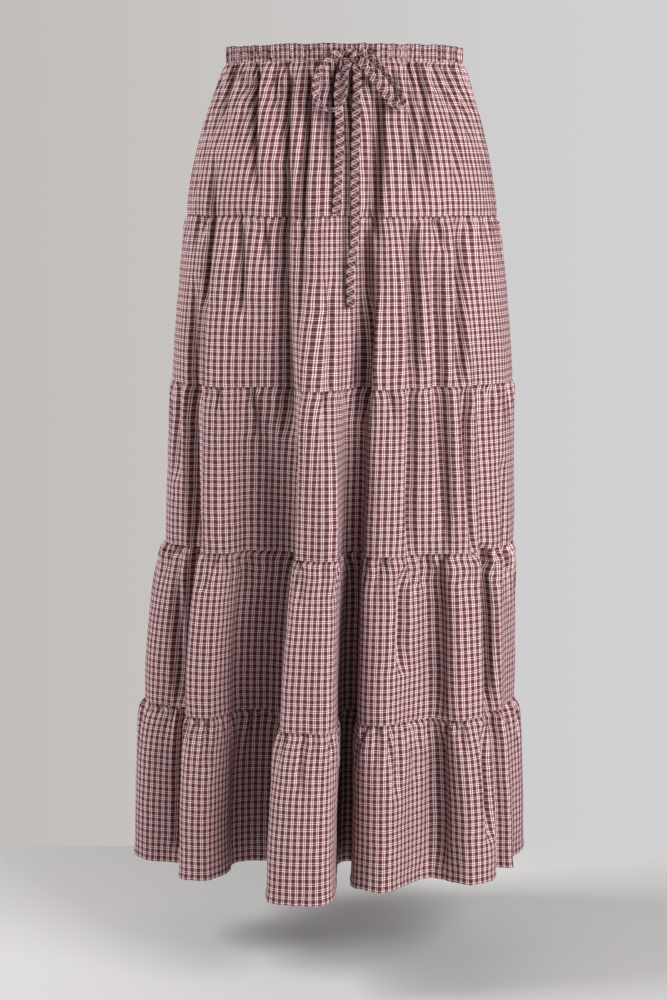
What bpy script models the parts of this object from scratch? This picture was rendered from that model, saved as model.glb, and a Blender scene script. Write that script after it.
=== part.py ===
"""A tiered ruffle skirt: an elasticated waistband, five gathered tiers and a tied drawstring.

Metres, +Z up. The front of the skirt faces -Y. Left and right are as seen from the front, so
left is -X.
The origin is the middle of the waistband, where the wearer's waist holds the skirt up.
Heights are given as a drop, measured down from the waistband's top edge.
"""

import math

import bmesh
import bpy
import numpy as np
from mathutils import Vector

# Driving sizes
BAND_TALL = 0.020
TIER_TALL = 0.1994
TOP = BAND_TALL / 2
SEAM_DROPS = (BAND_TALL, TIER_TALL, 2 * TIER_TALL, 3 * TIER_TALL, 4 * TIER_TALL, 5 * TIER_TALL)
LENGTH = SEAM_DROPS[-1]
CLOTH = 0.0014
BAND_WALL = 0.0030
SEAM_GAP = 0.0003

# The plan of the skirt at each seam, before its folds: how far it reaches to each side, and how
# fast the tier below the seam springs out to the next plan (1 is a straight cone).
# left, right, front, back, spring
PLAN = (
    (0.1430, 0.1420, 0.1060, 0.1080, 1.6),
    (0.1915, 0.1850, 0.1430, 0.1480, 1.5),
    (0.2110, 0.2050, 0.1500, 0.1640, 1.6),
    (0.2215, 0.2090, 0.1270, 0.1600, 2.1),
    (0.2480, 0.2115, 0.1240, 0.1600, 2.4),
    (0.2620, 0.2230, 0.1200, 0.1600, 1.0),
)

# The large folds, going round from the left side over the front. Each row is a crest, an edge
# or a hollow: its turn round the waist in degrees (0 is the front, 90 the right side), the share
# of the length where it begins, and its place at the hem, across (+X) and forward (-Y).
# name, turn, start, across, forward
FOLDS = (
    ("side_left", -90, 0.60, -0.2640, -0.005),
    ("a_left", -73, 0.45, -0.2530, 0.026),
    ("a_right", -58, 0.36, -0.2070, 0.046),
    ("b_tuck", -54, 0.24, -0.2010, 0.050),
    ("b_left", -51, 0.26, -0.1980, 0.112),
    ("b_crest", -44, 0.36, -0.1700, 0.121),
    ("b_right", -38, 0.38, -0.1430, 0.084),
    ("gap_1_left", -34, 0.36, -0.1360, 0.046),
    ("gap_1_right", -15, 0.45, -0.0840, 0.040),
    ("c_left", -8.5, 0.28, -0.0900, 0.208),
    ("c_crest", -5.8, 0.32, -0.0550, 0.222),
    ("c_right", -3, 0.28, -0.0210, 0.213),
    ("gap_2_left", 2, 0.30, -0.0050, 0.040),
    ("gap_2_right", 7.5, 0.30, 0.0080, 0.036),
    ("d_left", 10.5, 0.30, 0.0120, 0.150),
    ("d_first", 16, 0.36, 0.0470, 0.167),
    ("d_dip", 27, 0.28, 0.1020, 0.110),
    ("d_second", 37, 0.38, 0.1500, 0.136),
    ("d_right", 44, 0.28, 0.1810, 0.113),
    ("e_tuck", 47, 0.26, 0.1850, 0.064),
    ("e_crest", 57, 0.45, 0.2050, 0.066),
    ("f_tuck", 69, 0.60, 0.2090, 0.022),
    ("side_right", 90, 0.60, 0.2235, -0.008),
    ("g_crest", 104, 0.45, 0.2230, -0.068),
    ("g_tuck", 114, 0.36, 0.1930, -0.078),
    ("h_left", 123, 0.36, 0.1840, -0.152),
    ("h_right", 134, 0.38, 0.1480, -0.176),
    ("h_tuck", 146, 0.30, 0.1180, -0.096),
    ("i_left", 157, 0.36, 0.0850, -0.192),
    ("i_right", 167, 0.38, 0.0470, -0.198),
    ("i_tuck", 176, 0.28, 0.0200, -0.102),
    ("j_tuck", 185, 0.30, -0.0080, -0.100),
    ("j_left", 195, 0.36, -0.0400, -0.200),
    ("j_right", 206, 0.38, -0.0800, -0.190),
    ("k_tuck", 217, 0.28, -0.1120, -0.100),
    ("k_left", 227, 0.36, -0.1500, -0.174),
    ("k_right", 238, 0.38, -0.1930, -0.154),
    ("l_tuck", 248, 0.34, -0.2080, -0.080),
    ("l_crest", 258, 0.46, -0.2480, -0.060),
)
TURNS = np.array([row[1] for row in FOLDS] + [270.0])
SIDE_RIGHT = [row[0] for row in FOLDS].index("side_right")

# Soft creases that run down one or two tiers: the turn at the top and at the foot, the drops
# where each begins and ends, how deep it is pressed in (below 0 it is a ridge that stands out),
# and its half width along the cloth.
# turn_top, turn_foot, from, to, deep, half
CREASES = (
    (-46, -31.5, 0.020, 0.190, 0.0105, 0.0100),
    (-27, -21, 0.020, 0.215, 0.0120, 0.0100),
    (-24.5, -20, 0.140, 0.460, 0.0158, 0.0123),
    (-12.4, -3.8, 0.110, 0.640, -0.0130, 0.0200),
    (-16.5, -13.4, 0.020, 0.340, 0.0112, 0.0100),
    (-4.9, -5, 0.020, 0.150, 0.0067, 0.0100),
    (2, 1.2, 0.020, 0.300, 0.0105, 0.0100),
    (14.8, 9, 0.045, 0.225, 0.0135, 0.0100),
    (7, 6, 0.190, 0.440, 0.0173, 0.0123),
    (32, 21, 0.020, 0.200, 0.0067, 0.0100),
    (38.5, 27.5, 0.020, 0.200, 0.0083, 0.0100),
    (56.5, 45, 0.020, 0.175, 0.0053, 0.0100),
    (24.6, 22.6, 0.200, 0.400, 0.0120, 0.0100),
    (22.6, 22.9, 0.385, 0.610, 0.0097, 0.0100),
    (33.2, 32.8, 0.235, 0.600, 0.0105, 0.0104),
    (46.8, 39.4, 0.200, 0.400, 0.0112, 0.0100),
    (41.8, 44, 0.400, 0.610, 0.0120, 0.0100),
    (-57.8, -53, 0.130, 0.310, 0.0067, 0.0100),
    (-46, -46, 0.200, 0.620, -0.0080, 0.0150),
    (-63.5, -57.4, 0.270, 0.620, 0.0105, 0.0104),
    (20.6, 20.5, 0.610, 0.740, 0.0105, 0.0104),
    (29.6, 29.8, 0.610, 0.800, 0.0120, 0.0156),
    (47.6, 46.4, 0.590, 0.800, 0.0142, 0.0117),
    (-57.6, -53.8, 0.600, 0.800, 0.0120, 0.0100),
    (29.8, 28.8, 0.800, 0.985, 0.0109, 0.0156),
    (43.4, 43, 0.805, 0.950, 0.0112, 0.0100),
    (-57.2, -57.2, 0.800, 0.985, 0.0083, 0.0100),
)
BACK_SHARE = 0.9
# The casing holds the creases flat: the share of their depth left at its edge, and how far below
# it they are at full depth.
BAND_SHARE = 0.2
BAND_EASE = 0.030

# Gathers of each tier: how many go round, how far they stand from the wall at their highest, and
# the shares of the tier's height where the wall has a row of points.
SHORT_ROWS = (0.0, 0.07, 0.25, 0.60, 1.0)
LONG_ROWS = (0.0, 0.07, 0.22, 0.45, 0.72, 1.0)
# count, rise, rows
GATHERS = (
    (24, 0.0034, SHORT_ROWS),
    (26, 0.0036, SHORT_ROWS),
    (28, 0.0038, SHORT_ROWS),
    (32, 0.0044, LONG_ROWS),
    (36, 0.0046, LONG_ROWS),
)
GATHER_PEAK = 0.07
GATHER_FADE = 0.30
GATHER_MEAN = 0.78
GATHER_VARIES = 0.22
GATHER_BEATS = 7
# How the gathers are crowded and spread along a panel: amount in gathers, cycles in a panel.
CROWDING = ((0.16, 4), (0.08, 9))
COLUMNS_PER_GATHER = 4
BAND_ROWS = (0.0, 1.0)
BAND_COLUMNS = 36
SAMPLES_PER_FOLD = 24

# The drawstring: a flat tie, knotted in a bow on the waistband.
TIE_WIDE = 0.0095
TIE_THICK = 0.0020
TIE_STEP = 0.0095
SAMPLES_PER_BEND = 40
# across, out: the corners of the tie's section, as shares of its half width and half thickness
TIE_SECTION = ((1, 0), (0.8, 1), (-0.8, 1), (-1, 0), (-0.8, -1), (0.8, -1))
KNOT_ACROSS = 0.0065
KNOT_DROP = 0.0120
KNOT_SIZE = (0.0150, 0.0095, 0.0125)
KNOT_SEGMENTS = 14
KNOT_RINGS = 9
SHARP_EDGE = math.radians(60)

# Colours, in linear red, green and blue
BAND_COLOUR = (0.160, 0.065, 0.075)
TIER_COLOUR = (0.210, 0.085, 0.098)
TIE_COLOUR = (0.260, 0.110, 0.125)
CLOTH_ROUGHNESS = 0.85

# Each route is a row for each bend: across, drop, how far it stands off the skirt, and the
# tie's twist in degrees (0 lies flat on the skirt).
LOOP_LEFT = (
    (-0.0016, 0.0100, 0.0080, 0),
    (-0.0110, 0.0135, 0.0105, 25),
    (-0.0220, 0.0235, 0.0115, 48),
    (-0.0310, 0.0390, 0.0110, 52),
    (-0.0330, 0.0580, 0.0110, 50),
    (-0.0265, 0.0725, 0.0120, 58),
    (-0.0160, 0.0775, 0.0135, 66),
    (-0.0065, 0.0720, 0.0135, 62),
    (-0.0008, 0.0600, 0.0120, 58),
    (0.0002, 0.0450, 0.0110, 52),
    (0.0000, 0.0320, 0.0100, 35),
    (0.0030, 0.0205, 0.0085, 8),
)
LOOP_RIGHT = (
    (0.0154, 0.0095, 0.0088, 0),
    (0.0262, 0.0155, 0.0115, -38),
    (0.0375, 0.0265, 0.0125, -62),
    (0.0475, 0.0400, 0.0125, -66),
    (0.0565, 0.0535, 0.0120, -66),
    (0.0630, 0.0660, 0.0115, -62),
    (0.0600, 0.0725, 0.0110, -45),
    (0.0515, 0.0690, 0.0100, -25),
    (0.0425, 0.0570, 0.0090, -14),
    (0.0335, 0.0440, 0.0092, -12),
    (0.0245, 0.0320, 0.0096, -6),
    (0.0152, 0.0196, 0.0096, 0),
)
END_SHORT = (
    (0.0032, 0.0186, 0.0052, 0),
    (-0.0048, 0.0330, 0.0050, 8),
    (-0.0085, 0.0530, 0.0054, 18),
    (-0.0078, 0.0760, 0.0054, 20),
    (-0.0060, 0.1050, 0.0054, 18),
    (-0.0070, 0.1300, 0.0052, 10),
    (-0.0085, 0.1630, 0.0052, 6),
    (-0.0110, 0.1960, 0.0052, 0),
)
END_LONG = (
    (0.0112, 0.0184, 0.0052, 0),
    (0.0130, 0.0400, 0.0050, -6),
    (0.0122, 0.0700, 0.0052, -14),
    (0.0112, 0.1230, 0.0052, -8),
    (0.0104, 0.1690, 0.0052, 0),
    (0.0108, 0.2050, 0.0058, 10),
    (0.0094, 0.2320, 0.0058, 16),
    (0.0058, 0.2600, 0.0056, 8),
    (0.0052, 0.2830, 0.0056, 0),
    (0.0062, 0.3030, 0.0056, 0),
)


def fabric(name, colour):
    """A plain cloth material."""
    material = bpy.data.materials.new(name)
    material.use_nodes = True
    shader = material.node_tree.nodes["Principled BSDF"]
    shader.inputs["Base Color"].default_value = (*colour, 1.0)
    shader.inputs["Roughness"].default_value = CLOTH_ROUGHNESS
    shader.inputs["Metallic"].default_value = 0.0
    return material


def plan_at(drop):
    """The plan's four reaches at a drop, and how much of the length lies above, eased."""
    tier = min(max(np.searchsorted(SEAM_DROPS, drop, side="right") - 1, 0), 4)
    top, foot = SEAM_DROPS[tier], SEAM_DROPS[tier + 1]
    down = min(max((drop - top) / (foot - top), 0.0), 1.0)
    eased = 1.0 - (1.0 - down) ** PLAN[tier][4]
    reaches = [high + (low - high) * eased for high, low in zip(PLAN[tier][:4], PLAN[tier + 1][:4])]
    share = (top + (foot - top) * (eased + down) / 2) / LENGTH
    return reaches, share


def ellipse_point(turn, reaches):
    """The point of the plan at a turn, in radians."""
    left, right, front, back = reaches
    across = right if math.sin(turn) > 0 else left
    depth = front if math.cos(turn) > 0 else back
    return np.array((across * math.sin(turn), -depth * math.cos(turn)))


def fold_points(drop):
    """Where each row of FOLDS lies at a drop."""
    reaches, share = plan_at(drop)
    hem_reaches = PLAN[-1][:4]
    points = []
    for _, turn, start, across, forward in FOLDS:
        angle = math.radians(turn)
        grown = max((share - start) / (1.0 - start), 0.0)
        away = np.array((across, -forward)) - ellipse_point(angle, hem_reaches)
        points.append(ellipse_point(angle, reaches) + grown * away)
    return np.array(points)


def round_curve(points, where):
    """A smooth closed curve through points, read at where (0 is the first point, 1 the next)."""
    count = len(points)
    knots = np.sqrt(np.linalg.norm(np.roll(points, -1, axis=0) - points, axis=1))[:, None]
    index = np.floor(where).astype(int)
    part = (where - index)[:, None]
    index = index % count
    before, here = points[(index - 1) % count], points[index]
    after, beyond = points[(index + 1) % count], points[(index + 2) % count]
    knot_0, knot_1, knot_2 = knots[(index - 1) % count], knots[index], knots[(index + 1) % count]
    leave = (here - before) / knot_0 - (after - before) / (knot_0 + knot_1) + (after - here) / knot_1
    arrive = (after - here) / knot_1 - (beyond - here) / (knot_1 + knot_2) + (beyond - after) / knot_2
    return (
        (2 * part**3 - 3 * part**2 + 1) * here
        + (part**3 - 2 * part**2 + part) * knot_1 * leave
        + (3 * part**2 - 2 * part**3) * after
        + (part**3 - part**2) * knot_1 * arrive
    )


def outward(points):
    """The outward direction at each point of a run of the plan."""
    along = np.gradient(points, axis=0)
    along /= np.linalg.norm(along, axis=1)[:, None]
    return np.stack((along[:, 1], -along[:, 0]), axis=1)


def all_creases():
    """The creases of the front, and like ones on the back."""
    rows = list(CREASES)
    for top, foot, begin, end, deep, half in CREASES:
        longer = begin + (end - begin) * BACK_SHARE
        rows.append((180 - BACK_SHARE * top, 180 - BACK_SHARE * foot, begin, longer, deep * BACK_SHARE, half))
    return rows


def creased(drop, where, arcs, spots):
    """How far the creases press the cloth in, at spots along the plan's length."""
    pressed = np.zeros(len(spots))
    for top, foot, begin, end, deep, half in all_creases():
        if not begin <= drop <= end:
            continue
        down = (drop - begin) / (end - begin)
        strength = (1.0 - down**3) if begin == BAND_TALL else 1.0 - (2 * down - 1.0) ** 4
        below = min((drop - BAND_TALL) / BAND_EASE, 1.0)
        strength *= BAND_SHARE + (1.0 - BAND_SHARE) * below
        turn = top + (foot - top) * down
        spot = np.interp(np.interp(turn, TURNS, np.arange(len(TURNS))), where, arcs)
        pressed += deep * strength * np.exp(-(((spots - spot) / half) ** 2))
    return pressed


def run_of_plan(drop, where):
    """The wall's outer line at a drop without its gathers, read at where."""
    points = fold_points(drop)
    line = round_curve(points, where)
    dense = np.linspace(0.0, len(FOLDS), len(FOLDS) * SAMPLES_PER_FOLD + 1)
    steps = np.linalg.norm(np.diff(round_curve(points, dense), axis=0), axis=1)
    arcs = np.concatenate(((0.0,), np.cumsum(steps)))
    spots = np.interp(where % len(FOLDS), dense, arcs)
    return line - outward(line) * creased(drop, dense, arcs, spots)[:, None]


def evenly_cut(drop, first, last, shares):
    """Where the shares of a panel's cut width lie between two folds, at its lower edge."""
    dense = np.linspace(first - 1, last + 1, (last - first + 2) * SAMPLES_PER_FOLD + 1)
    line = round_curve(fold_points(drop), dense)
    arcs = np.concatenate(((0.0,), np.cumsum(np.linalg.norm(np.diff(line, axis=0), axis=1))))
    begin, end = np.interp((first, last), dense, arcs)
    spots = begin + SEAM_GAP / 2 + shares * (end - begin - SEAM_GAP)
    return np.interp(spots, arcs, dense)


def shares_of(columns):
    """Even shares of a panel's width, with a guard column beyond each side seam."""
    return np.arange(-1, columns + 2) / columns


def uneven(shares, count):
    """Shares of a width, crowded and spread so that no two gathers are alike."""
    shifts = [amount * np.sin(2 * np.pi * cycles * shares) for amount, cycles in CROWDING]
    return shares + sum(shifts) / count


def gathered(shares, count, rise, down):
    """How far the gathers lift the cloth, a share of the way down a tier."""
    grown = 0.5 + 0.5 * min(down / GATHER_PEAK, 1.0)
    faded = math.exp(-max(down - GATHER_PEAK, 0.0) / GATHER_FADE) * (1.0 - down)
    heights = GATHER_MEAN + GATHER_VARIES * np.cos(2 * np.pi * GATHER_BEATS * shares)
    return rise * grown * faded * heights * np.cos(2 * np.pi * count * shares)


def wall(name, rows, thick, material):
    """A closed wall through rows of outer points, thickened inwards, without its guard columns."""
    mesh = bmesh.new()
    columns = len(rows[0]) - 3
    bmesh.ops.create_grid(mesh, x_segments=columns, y_segments=len(rows) - 1, size=0.5)
    column_of = mesh.verts.layers.int.new("column")
    row_of = mesh.verts.layers.int.new("row")
    for vertex in mesh.verts:
        vertex[column_of] = round((vertex.co.x + 0.5) * columns)
        vertex[row_of] = round((0.5 - vertex.co.y) * (len(rows) - 1))
    made = bmesh.ops.extrude_face_region(mesh, geom=mesh.faces[:], use_keep_orig=True)
    inner = {item for item in made["geom"] if isinstance(item, bmesh.types.BMVert)}
    backs = [line[:, :2] - thick * outward(line[:, :2]) for line in rows]
    for vertex in mesh.verts:
        row, column = vertex[row_of], vertex[column_of] + 1
        place = backs[row][column] if vertex in inner else rows[row][column]
        vertex.co = (place[0], place[1], rows[row][column][2])
    bmesh.ops.recalc_face_normals(mesh, faces=mesh.faces[:])
    return finish(name, mesh, material)


def finish(name, mesh, material):
    """Make a smooth object of a bmesh, and free the bmesh."""
    data = bpy.data.meshes.new(name)
    mesh.to_mesh(data)
    mesh.free()
    data.shade_smooth()
    data.set_sharp_from_angle(angle=SHARP_EDGE)
    data.materials.append(material)
    made = bpy.data.objects.new(name, data)
    bpy.context.collection.objects.link(made)
    return made


def rows_of_panel(top, foot, downs, first, last, count, rise):
    """Rows of points for the panel between two folds and two drops."""
    shares = shares_of(count * COLUMNS_PER_GATHER)
    where = evenly_cut(foot, first, last, uneven(shares, count))
    rows = []
    for down in downs:
        drop = top + (foot - top) * down
        line = run_of_plan(drop, where)
        line = line + outward(line) * gathered(shares, count, rise, down)[:, None]
        rows.append(np.column_stack((line, np.full(len(line), TOP - drop))))
    return rows


def tiers(material):
    """The five tiers, each a front and a back joined at the side seams."""
    for tier, (count, rise, downs) in enumerate(GATHERS):
        top = SEAM_DROPS[tier] + SEAM_GAP
        foot = SEAM_DROPS[tier + 1]
        half = count // 2
        front = rows_of_panel(top, foot, downs, 0, SIDE_RIGHT, half, rise)
        back = rows_of_panel(top, foot, downs, SIDE_RIGHT, len(FOLDS), half, rise)
        wall(f"tier_{tier + 1}_front", front, CLOTH, material)
        wall(f"tier_{tier + 1}_back", back, CLOTH, material)


def waistband(material):
    """The casing with its elastic, front and back."""
    stands = (BAND_WALL - CLOTH) / 2
    for name, first, last in (("front", 0, SIDE_RIGHT), ("back", SIDE_RIGHT, len(FOLDS))):
        where = evenly_cut(0.0, first, last, shares_of(BAND_COLUMNS))
        line = run_of_plan(0.0, where)
        line = line + outward(line) * stands
        rows = [np.column_stack((line, np.full(len(line), TOP - BAND_TALL * down))) for down in BAND_ROWS]
        wall(f"waistband_{name}", rows, BAND_WALL, material)


def on_front(across, drop, stand):
    """A point that stands off the front of the skirt, and the direction away from the skirt."""
    reaches, _ = plan_at(drop)
    wide = reaches[1] if across > 0 else reaches[0]
    angle = math.asin(across / wide)
    away = Vector((math.sin(angle) / wide, -math.cos(angle) / reaches[2], 0.0)).normalized()
    place = Vector((across, -reaches[2] * math.cos(angle), TOP - drop))
    return place + away * stand, away


def route(rows, step):
    """Points, away directions and twists at even steps along a smooth route."""
    knots = [on_front(across, drop, stand)[0] for across, drop, stand, _ in rows]
    padded = np.array([2 * knots[0] - knots[1]] + knots + [2 * knots[-1] - knots[-2]])
    dense = np.linspace(1.0, len(knots), SAMPLES_PER_BEND * len(knots))
    line = round_curve(padded, np.minimum(dense, len(knots) - 1e-6))
    arcs = np.concatenate(((0.0,), np.cumsum(np.linalg.norm(np.diff(line, axis=0), axis=1))))
    stops = np.linspace(0.0, arcs[-1], round(arcs[-1] / step) + 1)
    places = np.column_stack([np.interp(stops, arcs, line[:, axis]) for axis in range(3)])
    parts = np.interp(stops, arcs, dense) - 1.0
    twists = np.interp(parts, np.arange(len(rows)), [row[3] for row in rows])
    aways = [on_front(place[0], TOP - place[2], 0.0)[1] for place in places]
    return [Vector(place) for place in places], aways, np.radians(twists)


def tie(name, rows, material):
    """A flat length of the drawstring, swept along its route."""
    places, aways, twists = route(rows, TIE_STEP)
    mesh = bmesh.new()
    rings = []
    for index, (place, away, twist) in enumerate(zip(places, aways, twists)):
        ahead = places[min(index + 1, len(places) - 1)] - places[max(index - 1, 0)]
        ahead.normalize()
        side = ahead.cross(away).normalized()
        face = side.cross(ahead)
        wide = math.cos(twist) * side + math.sin(twist) * face
        thick = ahead.cross(wide)
        ring = []
        for across, out in TIE_SECTION:
            offset = wide * across * TIE_WIDE / 2 + thick * out * TIE_THICK / 2
            ring.append(mesh.verts.new(place + offset))
        rings.append(ring)
    edges = []
    for ring in rings:
        edges.append([mesh.edges.new((ring[i], ring[(i + 1) % len(ring)])) for i in range(len(ring))])
    for low, high in zip(edges, edges[1:]):
        bmesh.ops.bridge_loops(mesh, edges=low + high)
    mesh.faces.new(rings[0])
    mesh.faces.new(rings[-1])
    bmesh.ops.recalc_face_normals(mesh, faces=mesh.faces[:])
    return finish(name, mesh, material)


def knot(material):
    """The bow's knot: a rounded lump as wide as the tie that wraps it."""
    mesh = bmesh.new()
    bmesh.ops.create_uvsphere(mesh, u_segments=KNOT_SEGMENTS, v_segments=KNOT_RINGS, radius=0.5)
    stand = (BAND_WALL - CLOTH) / 2 + SEAM_GAP + KNOT_SIZE[1] / 2
    place, _ = on_front(KNOT_ACROSS, KNOT_DROP, stand)
    for vertex in mesh.verts:
        vertex.co = place + Vector([axis * size for axis, size in zip(vertex.co, KNOT_SIZE)])
    return finish("bow_knot", mesh, material)


def drawstring(material):
    """The bow: its knot, two loops and two hanging ends."""
    knot(material)
    tie("bow_loop_left", LOOP_LEFT, material)
    tie("bow_loop_right", LOOP_RIGHT, material)
    tie("tie_end_short", END_SHORT, material)
    tie("tie_end_long", END_LONG, material)


def main():
    """Clear the scene and build the skirt."""
    for item in list(bpy.data.objects):
        bpy.data.objects.remove(item, do_unlink=True)
    band_cloth = fabric("band_cloth", BAND_COLOUR)
    tier_cloth = fabric("tier_cloth", TIER_COLOUR)
    tie_cloth = fabric("tie_cloth", TIE_COLOUR)
    waistband(band_cloth)
    tiers(tier_cloth)
    drawstring(tie_cloth)


main()
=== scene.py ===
# %% [markdown]
# # A tiered ruffle skirt
# A long skirt sewn from a light checked cloth: an elasticated waistband, five gathered tiers and
# a drawstring tied in a bow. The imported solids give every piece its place. Here each one gets its
# real cloth: thin shells with the gathers, creases, seams, hem and check of the real thing.
# %% Load the solids
import math

import bmesh
import bpy
import numpy as np
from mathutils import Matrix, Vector


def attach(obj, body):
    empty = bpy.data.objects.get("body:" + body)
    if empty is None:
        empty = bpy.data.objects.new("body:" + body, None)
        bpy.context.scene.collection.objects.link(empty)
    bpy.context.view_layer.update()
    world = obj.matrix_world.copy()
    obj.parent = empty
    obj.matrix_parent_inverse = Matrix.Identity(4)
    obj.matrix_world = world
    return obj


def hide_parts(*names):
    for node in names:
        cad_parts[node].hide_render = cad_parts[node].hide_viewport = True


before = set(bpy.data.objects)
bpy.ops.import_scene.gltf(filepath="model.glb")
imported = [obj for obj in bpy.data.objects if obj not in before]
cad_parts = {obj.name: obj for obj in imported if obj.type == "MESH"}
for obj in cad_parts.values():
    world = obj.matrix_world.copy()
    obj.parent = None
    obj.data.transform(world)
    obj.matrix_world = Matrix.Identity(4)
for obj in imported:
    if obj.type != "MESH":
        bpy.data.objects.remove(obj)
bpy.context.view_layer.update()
print("solids:", len(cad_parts))

# %% [markdown]
# ## Camera
# The camera stands 2.9 m away, a little under the waist, and looks slightly down.
# %% Camera
scene = bpy.context.scene
camera = bpy.data.objects.new("camera", bpy.data.cameras.new("camera"))
camera.data.lens = 85.392
camera.data.sensor_width = 36
camera.location = (-0.0138, -2.9, -0.1415)
camera.rotation_euler = (math.radians(90 - 7.8), 0, 0)
scene.collection.objects.link(camera)
scene.camera = camera

# %% [markdown]
# ## A short way to write materials
# A material is a tree of nodes. This class wraps one output of a node, so that plain arithmetic
# on it adds Math nodes, and one method adds any other node.
# %% Node arithmetic


class Value:
    """An output of a node, which Python's arithmetic can work on."""

    def __init__(self, tree, socket=None):
        self.tree, self.socket = tree, socket

    def node(self, kind, settings=(), sockets=(), output=0):
        """Add a node: its settings first, then the values or links of its sockets."""
        made = self.tree.nodes.new(kind)
        for name, setting in dict(settings).items():
            setattr(made, name, setting)
        for name, value in dict(sockets).items():
            if isinstance(value, Value):
                self.tree.links.new(value.socket, made.inputs[name])
            else:
                made.inputs[name].default_value = value
        return Value(self.tree, made.outputs[output])

    def maths(self, operation, *values):
        """Add a Math node."""
        return self.node("ShaderNodeMath", {"operation": operation}, dict(enumerate(values)))

    def __add__(self, other):
        return self.maths("ADD", self, other)

    def __sub__(self, other):
        return self.maths("SUBTRACT", self, other)

    def __rsub__(self, other):
        return self.maths("SUBTRACT", other, self)

    def __mul__(self, other):
        return self.maths("MULTIPLY", self, other)

    def __mod__(self, other):
        return self.maths("FLOORED_MODULO", self, other)

    def __abs__(self):
        return self.maths("ABSOLUTE", self)

    __radd__ = __add__
    __rmul__ = __mul__

    def rising(self, low, high):
        """From 0 at low to 1 at high, eased."""
        settings = {"interpolation_type": "SMOOTHSTEP"}
        return self.node("ShaderNodeMapRange", settings, {"Value": self, "From Min": low, "From Max": high})

    def mixed(self, first, second):
        """The first colour where this is 0, the second where it is 1."""
        return self.node("ShaderNodeMix", {"data_type": "RGBA"}, {0: self, 6: first, 7: second}, output=2)


# %% [markdown]
# ## Studio
# A pale floor below the skirt, a pale wall behind it, one large soft lamp in front on the right,
# a weak one nearer the camera, and one high on the left for the outer folds there. The room
# itself is dim, so the deep folds stay dark.
# %% Floor, surround and lamps
FLOOR_Z = -1.100
scene.view_settings.view_transform = "Standard"


def plain(name, colour, roughness):
    """A material of one colour, for the studio."""
    material = bpy.data.materials.new(name)
    material.use_nodes = True
    shader = material.node_tree.nodes["Principled BSDF"]
    shader.inputs["Base Color"].default_value = (*colour, 1)
    shader.inputs["Roughness"].default_value = roughness
    return material


def floor():
    """A flat floor that ends a little behind the skirt."""
    mesh = bmesh.new()
    bmesh.ops.create_grid(mesh, x_segments=1, y_segments=1, size=0.5)
    bmesh.ops.scale(mesh, vec=(9.0, 5.0, 1), verts=mesh.verts)
    bmesh.ops.translate(mesh, vec=(0, -2.08, FLOOR_Z), verts=mesh.verts)
    data = bpy.data.meshes.new("floor")
    mesh.to_mesh(data)
    mesh.free()
    data.materials.append(plain("studio_floor", (0.52, 0.515, 0.51), 0.6))
    made = bpy.data.objects.new("floor", data)
    scene.collection.objects.link(made)


def lamp(name, place, target, size, power):
    """A square lamp that faces a target."""
    light = bpy.data.lights.new(name, "AREA")
    light.size = size
    light.energy = power
    made = bpy.data.objects.new(name, light)
    made.location = place
    made.rotation_euler = (Vector(target) - Vector(place)).to_track_quat("-Z", "Y").to_euler()
    scene.collection.objects.link(made)


floor()
lamp("key_lamp", (2.02, -2.14, 0.65), (0, 0, -0.5), 2.0, 142)
lamp("front_lamp", (1.16, -3.18, -0.20), (0, 0, -0.5), 1.0, 16)
lamp("left_lamp", (-2.94, -0.10, 1.20), (0, 0, -0.5), 1.4, 135)
LEFT_WALL = (0.535, 0.505, 0.485, 1)
RIGHT_WALL = (0.655, 0.650, 0.660, 1)
ROOM = (0.030, 0.030, 0.031, 1)


def surround():
    """A pale wall far behind the skirt, and a dim room in front of it."""
    world = bpy.data.worlds.new("surround")
    scene.world = world
    world.use_nodes = True
    start = Value(world.node_tree)
    way = start.node("ShaderNodeTexCoord")
    across = start.node("ShaderNodeSeparateXYZ", (), {0: way}, 0)
    back = start.node("ShaderNodeSeparateXYZ", (), {0: way}, 1)
    wall = across.rising(-0.2, 0.2).mixed(LEFT_WALL, RIGHT_WALL)
    colour = back.rising(0.0, 0.4).mixed(ROOM, wall)
    world.node_tree.links.new(colour.socket, world.node_tree.nodes["Background"].inputs["Color"])


surround()

# %% [markdown]
# ## The check
# The cloth is woven from dark burgundy yarn with pairs of pale yarns, both ways, every 8 mm.
# Where warp and weft cross, the eye sees both at once: two dark yarns give a dark square, two
# pale ones a bright crossing, and one of each a dusty pink, paler where the warp is the pale one,
# because warp yarns lie closer together. The material reads the map named cut, which is the flat
# cloth in metres, so the check bends with every fold. Stitches are drawn on the same map.
# %% Cloth material
REPEAT = 0.0080
# how far apart and how wide the two pale stripes of a pair are
WARP_PAIR = (0.00220, 0.00124)
WEFT_PAIR = (0.00240, 0.00112)
YARN = 0.00045
DARK_YARN = (0.080, 0.023, 0.028, 1)
PALE_YARN = (0.780, 0.655, 0.660, 1)
WARP_PINK = (0.455, 0.300, 0.306, 1)
WEFT_PINK = (0.315, 0.186, 0.195, 1)
THREAD = (0.055, 0.014, 0.018, 1)
STITCH = 0.0028
STITCH_WIDE = 0.0005
CRINKLE = 4.0


def pale_stripes(across, apart, wide):
    """1 on the two pale stripes of each repeat, 0 on the dark ground."""
    from_middle = abs((across * (1 / REPEAT)) % 1.0 - 0.5)
    from_stripe = abs(from_middle - apart / REPEAT / 2)
    half = wide / REPEAT / 2
    return 1 - from_stripe.rising(half * 0.75, half * 1.25)


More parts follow.
